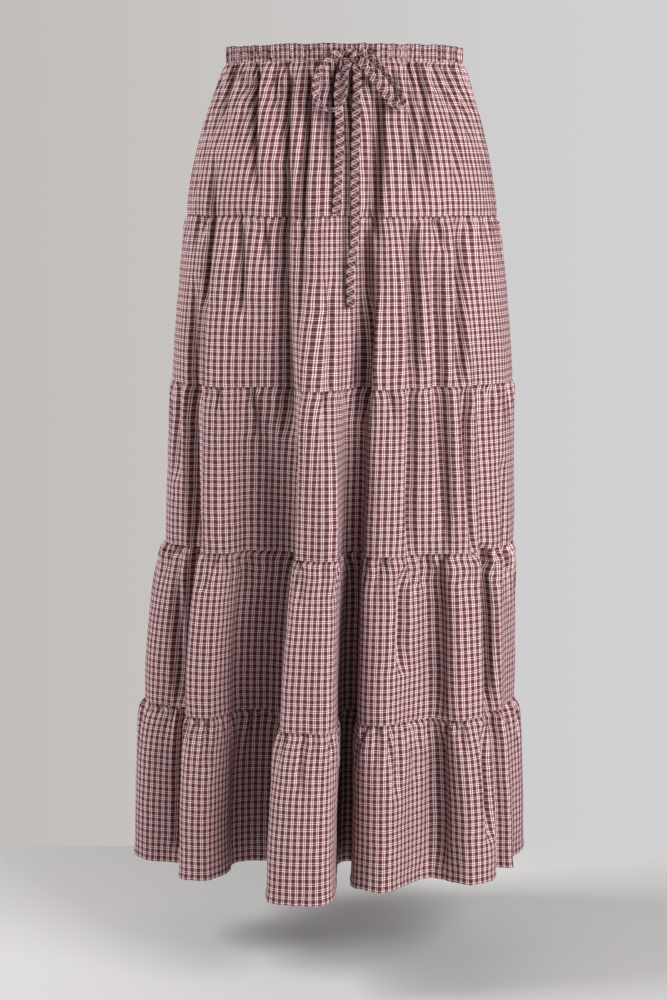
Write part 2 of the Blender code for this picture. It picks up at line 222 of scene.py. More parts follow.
def check_cloth(name, stitch_drops=(), wander=0.0011, painted_shade_tone=1.0):
    """The checked cloth: its rows of stitches, how far its yarns wander, and how far painted shade darkens
    it.
    """
    material = bpy.data.materials.new(name)
    material.use_nodes = True
    tree = material.node_tree
    shader = tree.nodes["Principled BSDF"]
    start = Value(tree)
    cut = start.node("ShaderNodeUVMap", {"uv_map": "cut"})
    across = start.node("ShaderNodeSeparateXYZ", (), {0: cut}, 0)
    down = start.node("ShaderNodeSeparateXYZ", (), {0: cut}, 1)

    def noise(scale_across, scale_down, detail):
        """Noise over the flat cloth, at its own scale each way."""
        stretched = start.node("ShaderNodeCombineXYZ", (), {0: across * scale_across, 1: down * scale_down})
        return start.node(
            "ShaderNodeTexNoise",
            {"noise_dimensions": "2D"},
            {"Vector": stretched, "Scale": 1.0, "Detail": detail, "Roughness": 0.6},
        )

    bent = noise(75, 60, 1.5) - 0.5
    warp = pale_stripes(across + bent * wander, *WARP_PAIR)
    weft = pale_stripes(down + bent * wander, *WEFT_PAIR)
    warp_slub = noise(1 / YARN / 2, 70, 2.0)
    weft_slub = noise(70, 1 / YARN / 2, 2.0)
    crossing = weft.mixed(DARK_YARN, WEFT_PINK)
    under_warp = weft.mixed(WARP_PINK, PALE_YARN)
    ground = warp.mixed(crossing, under_warp)
    shade = 0.80 + 0.22 * warp_slub + 0.18 * weft_slub
    cloudy = noise(14, 14, 2.0)
    # the tone factor darkens the whole cloth: painted shade, used on the casing and the tie
    shade = shade * (painted_shade_tone * 0.93 + painted_shade_tone * 0.14 * cloudy)
    colour = start.node("ShaderNodeVectorMath", {"operation": "SCALE"}, {0: ground, "Scale": shade})
    height = 0.5 * warp_slub + 0.5 * weft_slub + CRINKLE * noise(110, 55, 1.5)
    for drop in stitch_drops:
        near = 1 - abs(down - drop).rising(STITCH_WIDE * 0.4, STITCH_WIDE * 0.6)
        along = abs((across * (1 / STITCH)) % 1.0 - 0.5)
        stitch = near * (1 - along.rising(0.36, 0.44))
        colour = stitch.mixed(colour, THREAD)
        height = height + stitch
    bump = start.node("ShaderNodeBump", (), {"Strength": 0.35, "Distance": 0.00025, "Height": height})
    tree.links.new(colour.socket, shader.inputs["Base Color"])
    tree.links.new(bump.socket, shader.inputs["Normal"])
    roughness = 0.80 + 0.12 * warp_slub
    tree.links.new(roughness.socket, shader.inputs["Roughness"])
    shader.inputs["Specular IOR Level"].default_value = 0.12
    return material


# %% [markdown]
# ## The plan of the skirt
# Seen from above, the skirt at each height is a closed curve: an ellipse at the waist, which
# grows folds on its way down. PLAN and FOLDS hold the same values as the solids. The creases are
# deeper and narrower here than there, apart from the two ridges (below 0), which are alike.
# %% Sizes and tables
BAND_TALL = 0.020
TIER_TALL = 0.1994
TOP = BAND_TALL / 2
SEAM_DROPS = (BAND_TALL, TIER_TALL, 2 * TIER_TALL, 3 * TIER_TALL, 4 * TIER_TALL, 5 * TIER_TALL)
LENGTH = SEAM_DROPS[-1]
SEAM_GAP = 0.0003

# left, right, front, back, spring
PLAN = (
    (0.1430, 0.1420, 0.1060, 0.1080, 1.6),
    (0.1915, 0.1850, 0.1430, 0.1480, 1.5),
    (0.2110, 0.2050, 0.1500, 0.1640, 1.6),
    (0.2215, 0.2090, 0.1270, 0.1600, 2.1),
    (0.2480, 0.2115, 0.1240, 0.1600, 2.4),
    (0.2620, 0.2230, 0.1200, 0.1600, 1.0),
)

# turn, start, across, forward
FOLDS = (
    (-90, 0.60, -0.2640, -0.005),
    (-73, 0.45, -0.2530, 0.026),
    (-58, 0.36, -0.2070, 0.046),
    (-54, 0.24, -0.2010, 0.050),
    (-51, 0.26, -0.1980, 0.112),
    (-44, 0.36, -0.1700, 0.121),
    (-38, 0.38, -0.1430, 0.084),
    (-34, 0.36, -0.1360, 0.046),
    (-15, 0.45, -0.0840, 0.040),
    (-8.5, 0.28, -0.0900, 0.208),
    (-5.8, 0.32, -0.0550, 0.222),
    (-3, 0.28, -0.0210, 0.213),
    (2, 0.30, -0.0050, 0.040),
    (7.5, 0.30, 0.0080, 0.036),
    (10.5, 0.30, 0.0120, 0.150),
    (16, 0.36, 0.0470, 0.167),
    (27, 0.28, 0.1020, 0.110),
    (37, 0.38, 0.1500, 0.136),
    (44, 0.28, 0.1810, 0.113),
    (47, 0.26, 0.1850, 0.064),
    (57, 0.45, 0.2050, 0.066),
    (69, 0.60, 0.2090, 0.022),
    (90, 0.60, 0.2235, -0.008),
    (104, 0.45, 0.2230, -0.068),
    (114, 0.36, 0.1930, -0.078),
    (123, 0.36, 0.1840, -0.152),
    (134, 0.38, 0.1480, -0.176),
    (146, 0.30, 0.1180, -0.096),
    (157, 0.36, 0.0850, -0.192),
    (167, 0.38, 0.0470, -0.198),
    (176, 0.28, 0.0200, -0.102),
    (185, 0.30, -0.0080, -0.100),
    (195, 0.36, -0.0400, -0.200),
    (206, 0.38, -0.0800, -0.190),
    (217, 0.28, -0.1120, -0.100),
    (227, 0.36, -0.1500, -0.174),
    (238, 0.38, -0.1930, -0.154),
    (248, 0.34, -0.2080, -0.080),
    (258, 0.46, -0.2480, -0.060),
)
TURNS = np.array([row[0] for row in FOLDS] + [270.0])
SIDE_RIGHT = [row[0] for row in FOLDS].index(90)

# turn_top, turn_foot, from, to, deep, half
CREASES = (
    (-46.0, -31.5, 0.020, 0.190, 0.0140, 0.0060),
    (-27.0, -21.0, 0.020, 0.215, 0.0160, 0.0075),
    (-24.5, -20.0, 0.140, 0.460, 0.0210, 0.0118),
    (-12.4, -3.8, 0.110, 0.640, -0.0130, 0.0200),
    (-16.5, -13.4, 0.020, 0.340, 0.0150, 0.0055),
    (-4.9, -5.0, 0.020, 0.150, 0.0090, 0.0050),
    (2.0, 1.2, 0.020, 0.300, 0.0140, 0.0060),
    (14.8, 9.0, 0.045, 0.225, 0.0180, 0.0070),
    (7.0, 6.0, 0.190, 0.440, 0.0230, 0.0095),
    (32.0, 21.0, 0.020, 0.200, 0.0090, 0.0055),
    (38.5, 27.5, 0.020, 0.200, 0.0110, 0.0055),
    (56.5, 45.0, 0.020, 0.175, 0.0070, 0.0055),
    (24.6, 22.6, 0.200, 0.400, 0.0160, 0.0070),
    (22.6, 22.9, 0.385, 0.610, 0.0130, 0.0070),
    (33.2, 32.8, 0.235, 0.600, 0.0140, 0.0080),
    (46.8, 39.4, 0.200, 0.400, 0.0150, 0.0070),
    (41.8, 44.0, 0.400, 0.610, 0.0160, 0.0075),
    (-57.8, -53.0, 0.130, 0.310, 0.0090, 0.0060),
    (-46.0, -46.0, 0.200, 0.620, -0.0080, 0.0150),
    (-63.5, -57.4, 0.270, 0.620, 0.0140, 0.0080),
    (20.6, 20.5, 0.610, 0.740, 0.0140, 0.0080),
    (29.6, 29.8, 0.610, 0.800, 0.0160, 0.0120),
    (47.6, 46.4, 0.590, 0.800, 0.0190, 0.0090),
    (-57.6, -53.8, 0.600, 0.800, 0.0160, 0.0065),
    (29.8, 28.8, 0.800, 0.985, 0.0145, 0.0120),
    (43.4, 43.0, 0.805, 0.950, 0.0150, 0.0075),
    (-57.2, -57.2, 0.800, 0.985, 0.0110, 0.0060),
)
# the same for creases that the solids leave out, most of them short and sharp
SHORT_CREASES = (
    (-35.5, -25.5, 0.020, 0.110, 0.0080, 0.0050),
    (-54.0, -45.0, 0.020, 0.070, 0.0060, 0.0050),
    (-65.0, -58.0, 0.020, 0.120, 0.0060, 0.0055),
    (23.5, 20.5, 0.020, 0.072, 0.0070, 0.0045),
    (65.0, 60.0, 0.020, 0.110, 0.0060, 0.0055),
    (-40.2, -36.5, 0.190, 0.320, 0.0080, 0.0060),
    (-29.6, -25.0, 0.195, 0.290, 0.0060, 0.0060),
    (-29.0, -28.0, 0.270, 0.620, 0.0055, 0.0160),
    (-30.0, -28.0, 0.201, 0.262, 0.0060, 0.0036),
    (34.5, 37.5, 0.200, 0.240, 0.0060, 0.0040),
    (-71.8, -70.0, 0.400, 0.520, 0.0060, 0.0080),
    (-33.5, -29.5, 0.400, 0.462, 0.0070, 0.0060),
    (67.0, 69.8, 0.490, 0.620, 0.0055, 0.0080),
    (-63.5, -59.2, 0.640, 0.800, 0.0090, 0.0070),
    (-49.0, -48.0, 0.600, 0.645, 0.0050, 0.0050),
    (-7.5, -7.3, 0.600, 0.650, 0.0050, 0.0050),
    (26.0, 27.0, 0.600, 0.640, 0.0050, 0.0050),
    (-44.6, -43.8, 0.798, 0.860, 0.0070, 0.0060),
    (-6.4, -6.0, 0.798, 0.870, 0.0055, 0.0050),
    (19.6, 18.5, 0.798, 0.890, 0.0060, 0.0060),
    (37.2, 36.4, 0.798, 0.840, 0.0050, 0.0050),
)
BACK_SHARE = 0.9
STEEP = 2.5
# the casing holds the creases flat: the share of their depth left at it, and where all of it is
BAND_SHARE = 0.2
BAND_EASE = 0.030

# %% [markdown]
# A smooth closed curve runs through the fold points of each height. It is sampled at places
# called where: 0 is the left side seam, 1 the next row of the table, and so on round the back.
# %% Curves of the plan
SAMPLES_PER_FOLD = 200
DENSE = np.linspace(0.0, len(FOLDS), len(FOLDS) * SAMPLES_PER_FOLD + 1)


def plan_at(drop):
    """The plan's four reaches at a drop, and how much of the length lies above, eased."""
    tier = min(max(np.searchsorted(SEAM_DROPS, drop, side="right") - 1, 0), 4)
    top, foot = SEAM_DROPS[tier], SEAM_DROPS[tier + 1]
    down = min(max((drop - top) / (foot - top), 0.0), 1.0)
    sprung = 1.0 - (1.0 - down) ** PLAN[tier][4]
    reaches = [high + (low - high) * sprung for high, low in zip(PLAN[tier][:4], PLAN[tier + 1][:4])]
    share = (top + (foot - top) * (sprung + down) / 2) / LENGTH
    return reaches, share


def ellipse_point(turn, reaches):
    """The point of the plan at a turn, in radians."""
    left, right, front, back = reaches
    across = right if math.sin(turn) > 0 else left
    depth = front if math.cos(turn) > 0 else back
    return np.array((across * math.sin(turn), -depth * math.cos(turn)))


def fold_points(drop):
    """Where each row of FOLDS lies at a drop."""
    reaches, share = plan_at(drop)
    points = []
    for turn, start, across, forward in FOLDS:
        angle = math.radians(turn)
        grown = max((share - start) / (1.0 - start), 0.0)
        away = np.array((across, -forward)) - ellipse_point(angle, PLAN[-1][:4])
        points.append(ellipse_point(angle, reaches) + grown * away)
    return np.array(points)


def round_curve(points, where):
    """A smooth closed curve through points, read at where."""
    count = len(points)
    knots = np.sqrt(np.linalg.norm(np.roll(points, -1, axis=0) - points, axis=1))[:, None]
    index = np.floor(where).astype(int)
    part = (where - index)[:, None]
    index = index % count
    before, here = points[(index - 1) % count], points[index]
    after, beyond = points[(index + 1) % count], points[(index + 2) % count]
    knot_0, knot_1, knot_2 = knots[(index - 1) % count], knots[index], knots[(index + 1) % count]
    leave = (here - before) / knot_0 - (after - before) / (knot_0 + knot_1) + (after - here) / knot_1
    arrive = (after - here) / knot_1 - (beyond - here) / (knot_1 + knot_2) + (beyond - after) / knot_2
    return (
        (2 * part**3 - 3 * part**2 + 1) * here
        + (part**3 - 2 * part**2 + part) * knot_1 * leave
        + (3 * part**2 - 2 * part**3) * after
        + (part**3 - part**2) * knot_1 * arrive
    )


def outward(line):
    """The outward direction at each point of a closed line, whose last point is its first."""
    along = np.roll(line[:-1], -1, axis=0) - np.roll(line[:-1], 1, axis=0)
    along /= np.linalg.norm(along, axis=1)[:, None]
    along = np.vstack((along, along[:1]))
    return np.stack((along[:, 1], -along[:, 0]), axis=1)


def arcs_of(line):
    """How far along a line each of its points lies."""
    return np.concatenate(((0.0,), np.cumsum(np.linalg.norm(np.diff(line, axis=0), axis=1))))


# %% [markdown]
# ## Creases and gathers
# Creases are valleys pressed into the cloth along a line, or ridges that stand out of it. The
# gathered edge of a tier throws three more kinds of form, which lie over each other: rounded
# ridges side by side, sharp little valleys, and broad waves. Each ridge and each valley has its
# own size and its own reach below the seam, so none is like its neighbours.
# %% Creases


def all_creases():
    """The creases of the front, and like ones on the back."""
    rows = list(CREASES + SHORT_CREASES)
    for top, foot, begin, end, deep, half in CREASES + SHORT_CREASES:
        turns = (180 - BACK_SHARE * top, 180 - BACK_SHARE * foot)
        longer = begin + (end - begin) * BACK_SHARE
        rows.append((*turns, begin, longer, deep * BACK_SHARE, half))
    return rows


def eased(share):
    """0 to 1, with a soft start and end."""
    share = min(max(share, 0.0), 1.0)
    return share * share * (3 - 2 * share)


def creased(drop, arcs):
    """How far the creases press the cloth in, at each point of the plan."""
    pressed = np.zeros(len(arcs))
    for top, foot, begin, end, deep, half in all_creases():
        if not begin <= drop <= end:
            continue
        down = (drop - begin) / (end - begin)
        strength = (1.0 - down**3) if begin == BAND_TALL else 1.0 - (2 * down - 1.0) ** 4
        strength *= BAND_SHARE + (1 - BAND_SHARE) * eased((drop - BAND_TALL) / BAND_EASE)
        turn = top + (foot - top) * down
        spot = np.interp(np.interp(turn, TURNS, np.arange(len(TURNS))), DENSE, arcs)
        pressed += deep * strength * np.exp(-(np.abs((arcs - spot) / half) ** STEEP))
    return pressed


# %% Ridges
LEAN = 0.22


def rounded_noise(places, pitch, around, seed):
    """Smooth noise from -1 to 1 along a closed length, one bump about every pitch."""
    count = max(round(around / pitch), 3)
    values = np.random.default_rng(seed).uniform(-1, 1, count)
    at = places / around * count
    index = np.floor(at).astype(int)
    part = at - index
    blend = part * part * (3 - 2 * part)
    return values[index % count] * (1 - blend) + values[(index + 1) % count] * blend


def ridges(spots, around, below, pitch, reach, seed):
    """Gathers of one size: rounded ridges side by side, one unit tall, that fade below the seam."""
    count = round(around / pitch)
    wander = 0.9 * rounded_noise(spots, 5 * pitch, around, seed)
    wander += 0.35 * rounded_noise(spots, 2 * pitch, around, seed + 1)
    leaning = rounded_noise(spots, 2.5 * pitch, around, seed + 2) * LEAN * below / pitch
    phase = spots / around * count + wander + leaning
    number = np.floor(phase).astype(int) % count
    chance = np.random.default_rng(seed + 3)
    far = reach * chance.uniform(0.4, 1.6, count)
    tall = chance.uniform(0.25, 1.25, count) * np.exp(-((below / far) ** 1.4))
    part = phase - np.floor(phase)
    before, after = np.clip(0.5 - part, 0, 1), np.clip(part - 0.5, 0, 1)
    height = tall[number] * (1 - before - after)
    height += tall[number - 1] * before + tall[(number + 1) % count] * after
    return height * (np.abs(np.sin(np.pi * phase)) ** 0.8 - 0.62)


def puckers(spots, around, below, pitch, deep, half, reach, seed):
    """Sharp little valleys, each of its own depth, width, length and lean, pressed in below a seam."""
    chance = np.random.default_rng(seed)
    count = round(around / pitch)
    at = (np.arange(count) + chance.uniform(-0.42, 0.42, count)) * around / count
    deeps = deep * chance.uniform(0.1, 1.0, count) ** 1.2
    halves = half * chance.uniform(0.7, 1.4, count)
    reaches = reach * chance.uniform(0.3, 1.6, count)
    leans = chance.normal(0.0, 0.16, count)
    away = spots[None, :] - (at + leans * below)[:, None]
    away = (away + around / 2) % around - around / 2
    strength = deeps * np.exp(-((below / reaches) ** 1.6))
    return (strength[:, None] * np.exp(-(np.abs(away / halves[:, None]) ** 1.6))).sum(axis=0)


# %% [markdown]
# ## Thin cloth
# Each panel starts as a flat grid, which is copied to its back and closed round its edges, all by
# bmesh operators. Then its points move to their places on the skirt. The map OFBake lays both
# sides and the thin edges out in strips that don't overlap, for baking.
# %% Panels
CLOTH = 0.0006
STRIPS = 2
MARGIN = 0.012
INNER_SHARE = 0.22


def panel(name, places, cut, downs, material, thick=CLOTH):
    """A closed thin shell whose outer side runs through a grid of places."""
    rows, columns = places.shape[:2]
    flat = bmesh.new()
    bmesh.ops.create_grid(flat, x_segments=columns - 1, y_segments=rows - 1, size=0.5)
    copied = bmesh.ops.extrude_face_region(flat, geom=flat.faces[:], use_keep_orig=True)["geom"]
    copied = [item for item in copied if isinstance(item, bmesh.types.BMVert)]
    bmesh.ops.translate(flat, verts=copied, vec=(0, 0, -1))
    bmesh.ops.recalc_face_normals(flat, faces=flat.faces[:])
    data = bpy.data.meshes.new(name)
    flat.to_mesh(data)
    flat.free()

    start = np.empty(len(data.vertices) * 3, np.float32)
    data.vertices.foreach_get("co", start)
    start = start.reshape(-1, 3)
    column = np.rint((start[:, 0] + 0.5) * (columns - 1)).astype(int)
    row = np.rint((0.5 - start[:, 1]) * (rows - 1)).astype(int)
    inside = start[:, 2] < -0.5
    along = np.gradient(places, axis=1)
    upward = -np.gradient(places, axis=0)
    face_out = np.cross(along, upward)
    face_out /= np.linalg.norm(face_out, axis=2)[:, :, None]
    backs = places - thick * face_out
    spots = np.where(inside[:, None], backs[row, column], places[row, column])
    data.vertices.foreach_set("co", spots.astype(np.float32).ravel())

    corner = np.empty(len(data.loops), np.int32)
    data.loops.foreach_get("vertex_index", corner)
    corner = corner.reshape(-1, 4)
    c, r, i = column[corner], row[corner], inside[corner]
    cut_map = np.stack((cut[c], downs[r]), axis=-1)
    data.uv_layers.new(name="cut").uv.foreach_set("vector", cut_map.astype(np.float32).ravel())
    bake_map = bake_places(c, r, i, columns - 1, downs)
    data.uv_layers.new(name="OFBake").uv.foreach_set("vector", bake_map.astype(np.float32).ravel())
    return finish(name, data, material)


def bake_places(c, r, i, last_column, downs):
    """Each face corner's place on the bake map: strips for the outside, the inside and the edges."""
    wide = last_column / STRIPS
    strip = np.minimum(np.floor(c.min(axis=1) / wide), STRIPS - 1)[:, None]
    tall = (1.0 - MARGIN * (4 * STRIPS + 1)) / STRIPS
    outer_tall, inner_tall = tall * (1 - INNER_SHARE), tall * INNER_SHARE
    base = strip * (tall + 4 * MARGIN) + MARGIN
    u = 3 * MARGIN + (1 - 4 * MARGIN) * (c - strip * wide) / wide
    down = (downs[r] - downs[0]) / (downs[-1] - downs[0])
    edge = 0.25 * MARGIN
    v = base + outer_tall * (1 - down)
    all_in, all_out = i.all(axis=1)[:, None], (~i).all(axis=1)[:, None]
    v = np.where(all_in, base + outer_tall + MARGIN + inner_tall * (1 - down), v)
    level = (r == r[:, :1]).all(axis=1)[:, None] & ~all_in & ~all_out
    rim_base = base + tall + MARGIN + np.where(r == 0, MARGIN, 1.5 * MARGIN)
    v = np.where(level, rim_base + edge * i, v)
    upright = (c == c[:, :1]).all(axis=1)[:, None] & ~all_in & ~all_out
    u = np.where(upright, MARGIN * np.where(c == 0, 0.5, 1.25) + edge * i, u)
    v = np.where(upright, 0.05 + 0.9 * down, v)
    return np.stack((u, v), axis=-1)


def finish(name, data, material):
    """Make a smooth object of a mesh."""
    data.shade_smooth()
    data.materials.append(material)
    made = bpy.data.objects.new(name, data)
    scene.collection.objects.link(made)
    return made


# %% [markdown]
# ## Tiers
# A tier is sewn into the edge of the one above it. Its top runs up behind that edge, puffs out
# below it, and its own lower edge turns in where the next one starts. The first tier runs
# straight on from the casing. The last one ends in a narrow turned hem: its lowest 7 mm stand
# out a little, as double cloth does, and the line of stitches dips in.
# %% Tier surfaces
# how far above its seam each tier has rows of points
TUCKED = 0.0046
TUCK_UPS = ((0.0009,), (TUCKED, 0.0016), (TUCKED, 0.0016), (TUCKED, 0.0016), (TUCKED, 0.0016))
TUCK_IN = 0.0010
TUCK_TALL = 0.0010
# how far each tier's head puffs out under its seam, and how far below that is
PUFFS = (0.0, 0.0003, 0.0004, 0.0012, 0.0020)
PUFF_DROP = 0.032
# tier: pitch, depth, half width and reach of its puckers, then pitch, rise and reach of its folds
GATHERS = (
    (0.0080, 0.0086, 0.0021, 0.055, 0.0170, 0.0070, 0.095),
    (0.0110, 0.0066, 0.0026, 0.022, 0.0250, 0.0038, 0.045),
    (0.0110, 0.0070, 0.0026, 0.023, 0.0260, 0.0042, 0.045),
    (0.0115, 0.0106, 0.0028, 0.030, 0.0280, 0.0056, 0.055),
    (0.0115, 0.0112, 0.0028, 0.030, 0.0300, 0.0060, 0.055),
)
WAVES = ((24, 0.0020), (26, 0.0022), (28, 0.0024), (32, 0.0028), (36, 0.0030))
COLUMN_STEP = (0.00160, 0.00175, 0.00185, 0.00205, 0.00215)
HEM_TALL = 0.0070
HEM_STITCH = 0.0062
# how far from a seam its wavering dies away: in and out, then up and down
SWAY_FADE = (0.02, 0.03)
# broad lumps and small crumples of the cloth: about how far apart, and how high
LUMPS = (0.035, 0.0008)
CRUMPLES = (0.022, 0.0005)
# how far below its seam and above its foot a tier's rows lie
FIRST_STEPS = (0.0, 0.0012, 0.0026, 0.0044, 0.0066, 0.0092, 0.0122, 0.0158, 0.0200, 0.0248, 0.0302, 0.0360)
LAST_STEPS = (0.0115, 0.0085, 0.0070, 0.0062, 0.0052, 0.0036, 0.0018, 0.0006, 0.0)


def row_drops(tier):
    """Where a tier's rows of points lie: close together at its seam and its foot."""
    top, foot = SEAM_DROPS[tier], SEAM_DROPS[tier + 1]
    middle = np.linspace(top + 0.0420, foot - 0.0170, 22)
    tuck = top - np.array(TUCK_UPS[tier])
    return np.concatenate((tuck, top + np.array(FIRST_STEPS), middle, foot - np.array(LAST_STEPS)))


def waves(shares, count, rise, down):
    """The broad waves of a panel, a share of the way down a tier."""
    shifts = 0.16 * np.sin(8 * np.pi * shares) + 0.08 * np.sin(18 * np.pi * shares)
    crowded = shares - shifts / count
    faded = math.exp(-max(down - 0.07, 0.0) / 0.30) * (1.0 - down)
    heights = 0.78 + 0.22 * np.cos(14 * np.pi * crowded)
    return rise * faded * heights * np.cos(2 * np.pi * count * crowded)


def seam_sway(seam):
    """How far a seam wavers in and out and up and down, round the plan."""
    arcs = arcs_of(round_curve(fold_points(SEAM_DROPS[seam]), DENSE))
    out = 0.0007 * rounded_noise(arcs, 0.016, arcs[-1], 300 + seam)
    down = 0.0008 * rounded_noise(arcs, 0.024, arcs[-1], 310 + seam)
    down += 0.0005 * rounded_noise(arcs, 0.011, arcs[-1], 320 + seam)
    return out, down


def panel_shares(cut):
    """Each place's share of its own panel's width: front from 0 to 1, then back from 0 to 1."""
    middle = cut[SIDE_RIGHT * SAMPLES_PER_FOLD]
    return np.where(cut < middle, cut / middle, (cut - middle) / (cut[-1] - middle))


def gathers(tier, seam, below):
    """The puckers and folds that a tier's gathered edge throws, at a drop below its seam."""
    pitch, deep, half, reach, fold_pitch, fold_rise, fold_reach = GATHERS[tier]
    around = seam[-1]
    pressed = puckers(seam, around, below, pitch, deep, half, reach, 10 * tier + 1)
    folds = ridges(seam, around, below, fold_pitch, fold_reach, 10 * tier + 5)
    grown, fold_grown = 0.5 + 0.5 * eased(below / 0.004), 0.4 + 0.6 * eased(below / 0.022)
    return fold_rise * fold_grown * folds - grown * pressed


def crumpled(places, drop, pitch, seed):
    """Smooth noise over the cloth: bumps about a pitch wide and tall."""
    level = math.floor(drop / pitch)
    part = eased(drop / pitch - level)
    high = rounded_noise(places, pitch, places[-1], seed + level % 20)
    low = rounded_noise(places, pitch, places[-1], seed + (level + 1) % 20)
    return high * (1 - part) + low * part


# over how much cloth its extra length evens out, and the share of the rest that stays in place
EVEN_OUT = 0.030
LOCAL = 0.6


def cloth_measure(flat_cut, plain, real):
    """How much cloth lies before each place: the cut width, crowded where the cloth turns in and out."""
    around = plain[-1]
    extra = real - plain * real[-1] / around
    steps = round(around / 0.001)
    even = np.arange(steps) * around / steps
    sampled = np.interp(even, plain, extra)
    span = round(3 * EVEN_OUT / 0.001)
    kernel = np.exp(-((np.arange(-span, span + 1) * 0.001 / EVEN_OUT) ** 2) / 2)
    padded = np.concatenate((sampled[-span:], sampled, sampled[:span]))
    smooth = np.convolve(padded, kernel / kernel.sum(), "valid")
    drift = np.interp(plain, np.append(even, around), np.append(smooth, smooth[0]))
    local = LOCAL * (extra - drift)
    return np.maximum.accumulate(flat_cut + local - local[0])


def hem_relief(arcs, above):
    """The double cloth of the hem, its dipped line of stitches, and the pull of the stitches."""
    band = 1.0 / (1.0 + math.exp((above - HEM_TALL) / 0.0004))
    groove = math.exp(-(((above - HEM_STITCH) / 0.0008) ** 2))
    pulled = math.exp(-above / 0.012)
    return 0.0005 * band - 0.0005 * groove + 0.0005 * pulled * np.cos(2 * np.pi * arcs / 0.013)


def tier_lines(tier):
    """The outer face of a tier: a closed line for each row, its measure of cloth, and its drop."""
    top, foot = SEAM_DROPS[tier], SEAM_DROPS[tier + 1]
    flat_cut = arcs_of(round_curve(fold_points(foot), DENSE))
    shares = panel_shares(flat_cut)
    seam = arcs_of(round_curve(fold_points(top), DENSE))
    around = seam[-1]
    top_out, top_down = seam_sway(tier)
    foot_out, foot_down = seam_sway(tier + 1)
    count, wave_rise = WAVES[tier]
    plump = PUFFS[tier] * (1.0 + 0.5 * rounded_noise(seam, 0.060, around, 350 + tier))
    drops = row_drops(tier)
    lines, measures = [], []
    for drop in drops:
        below, above = max(drop - top, 0.0), foot - drop
        line = round_curve(fold_points(drop), DENSE)
        arcs = arcs_of(line)
        buried = eased((top - drop) / TUCKED)
        out = (1.0 - buried) * gathers(tier, seam, below) - creased(drop, arcs)
        out += eased(below / 0.008) * waves(shares, count // 2, wave_rise, below / (foot - top))
        out -= (0.3 if tier == 0 else 1.0) * TUCK_IN * math.exp(-below / TUCK_TALL)
        out += plump * below / PUFF_DROP * math.exp(1 - below / PUFF_DROP)
        out += top_out * math.exp(-below / SWAY_FADE[0]) + foot_out * math.exp(-above / SWAY_FADE[0])
        fading = min(below / 0.05, above / 0.03, 1.0)
        out += fading * LUMPS[1] * rounded_noise(seam + 0.15 * drop, LUMPS[0], around, 400 + tier)
        out += CRUMPLES[1] * fading * crumpled(seam, drop, CRUMPLES[0], 700 + 20 * tier)
        if tier == 4:
            out += hem_relief(seam, above)
        else:
            out -= 0.0005 * math.exp(-above / 0.002)
        level = math.exp(-below / SWAY_FADE[1]) * top_down + math.exp(-above / SWAY_FADE[1]) * foot_down
        placed = line + outward(line) * out[:, None]
        lines.append(np.column_stack((placed, TOP - drop + level)))
        measures.append(cloth_measure(flat_cut, arcs, arcs_of(placed)))
    return lines, measures, drops


def cut_from(lines, measures, first, last, columns):
    """A panel's grid of places, with the same width of cloth between its columns."""
    span = slice(first * SAMPLES_PER_FOLD, last * SAMPLES_PER_FOLD + 1)
    rows = []
    for line, measure in zip(lines, measures):
        run, cloth = line[span], measure[span]
        stops = np.linspace(cloth[0] + SEAM_GAP / 2, cloth[-1] - SEAM_GAP / 2, columns + 1)
        rows.append(np.column_stack([np.interp(stops, cloth, run[:, axis]) for axis in range(3)]))
    return np.array(rows)


# %% Sew the tiers
cloth_of_tiers = check_cloth("checked_cloth")
cloth_of_hem = check_cloth("checked_cloth_hemmed", stitch_drops=(LENGTH - HEM_STITCH,))
CUT_OFFSETS = (0.0012, 0.0043, 0.0071, 0.0026, 0.0058)
HALVES = (("front", 0, SIDE_RIGHT), ("back", SIDE_RIGHT, len(FOLDS)))


def flat_width(measures, first, last):
    """The cut width of a panel between two folds."""
    return measures[-1][last * SAMPLES_PER_FOLD] - measures[-1][first * SAMPLES_PER_FOLD]


def sew_tier(tier):
    """The front and the back of a tier."""
    lines, measures, drops = tier_lines(tier)
    for side, first, last in HALVES:
        node = f"tier_{tier + 1}_{side}"
        width = flat_width(measures, first, last)
        columns = round(width / COLUMN_STEP[tier])
        places = cut_from(lines, measures, first, last, columns)
        cut = CUT_OFFSETS[tier] + np.linspace(0.0, width, columns + 1)
        piece = panel(f"cloth_{node}", places, cut, drops, cloth_of_hem if tier == 4 else cloth_of_tiers)
        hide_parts(node)
        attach(piece, "root")
        print(node, "flat", round(width, 3), "head", round(arcs_of(places[1])[-1], 3))


for tier in range(5):
    sew_tier(tier)

# %% [markdown]
# ## Waistband
# The casing is a strip of the same cloth, folded over an elastic and stitched down. The elastic
# draws it together, so it puckers from edge to edge, and the puckers run on into the first tier.
# Its rows of points climb the inside, turn over the top edge and come down the outside.
# %% Casing
BAND_WALL = 0.0030
BAND_STANDS = 0.0006
# pitch, depth and half width of its puckers
BAND_PUCKERS = (0.0050, 0.0066, 0.0012)
FOLD_RADIUS = BAND_WALL / 2
BAND_STITCH = 0.0176
BAND_PINCH = 0.0004
BAND_STEP = 0.0010
BAND_CLOTH = 0.0004


def casing_profile():
    """The casing's section: how far out and how far down each row lies, from inside to outside."""
    inner, outer = BAND_STANDS - BAND_WALL, BAND_STANDS
    climbing = np.linspace(BAND_TALL, FOLD_RADIUS, 8)
    near_seam = (0.0166, BAND_STITCH, 0.0186, 0.0193, BAND_TALL)
    falling = np.concatenate((np.linspace(FOLD_RADIUS, 0.0155, 10), near_seam))
    rows = [(inner, drop) for drop in climbing[:-1]]
    for turn in np.linspace(0.0, math.pi, 7):
        middle = (inner + outer) / 2
        rows.append((middle - FOLD_RADIUS * math.cos(turn), FOLD_RADIUS - FOLD_RADIUS * math.sin(turn)))
    return rows + [(outer, drop) for drop in falling[1:]], len(climbing) - 1


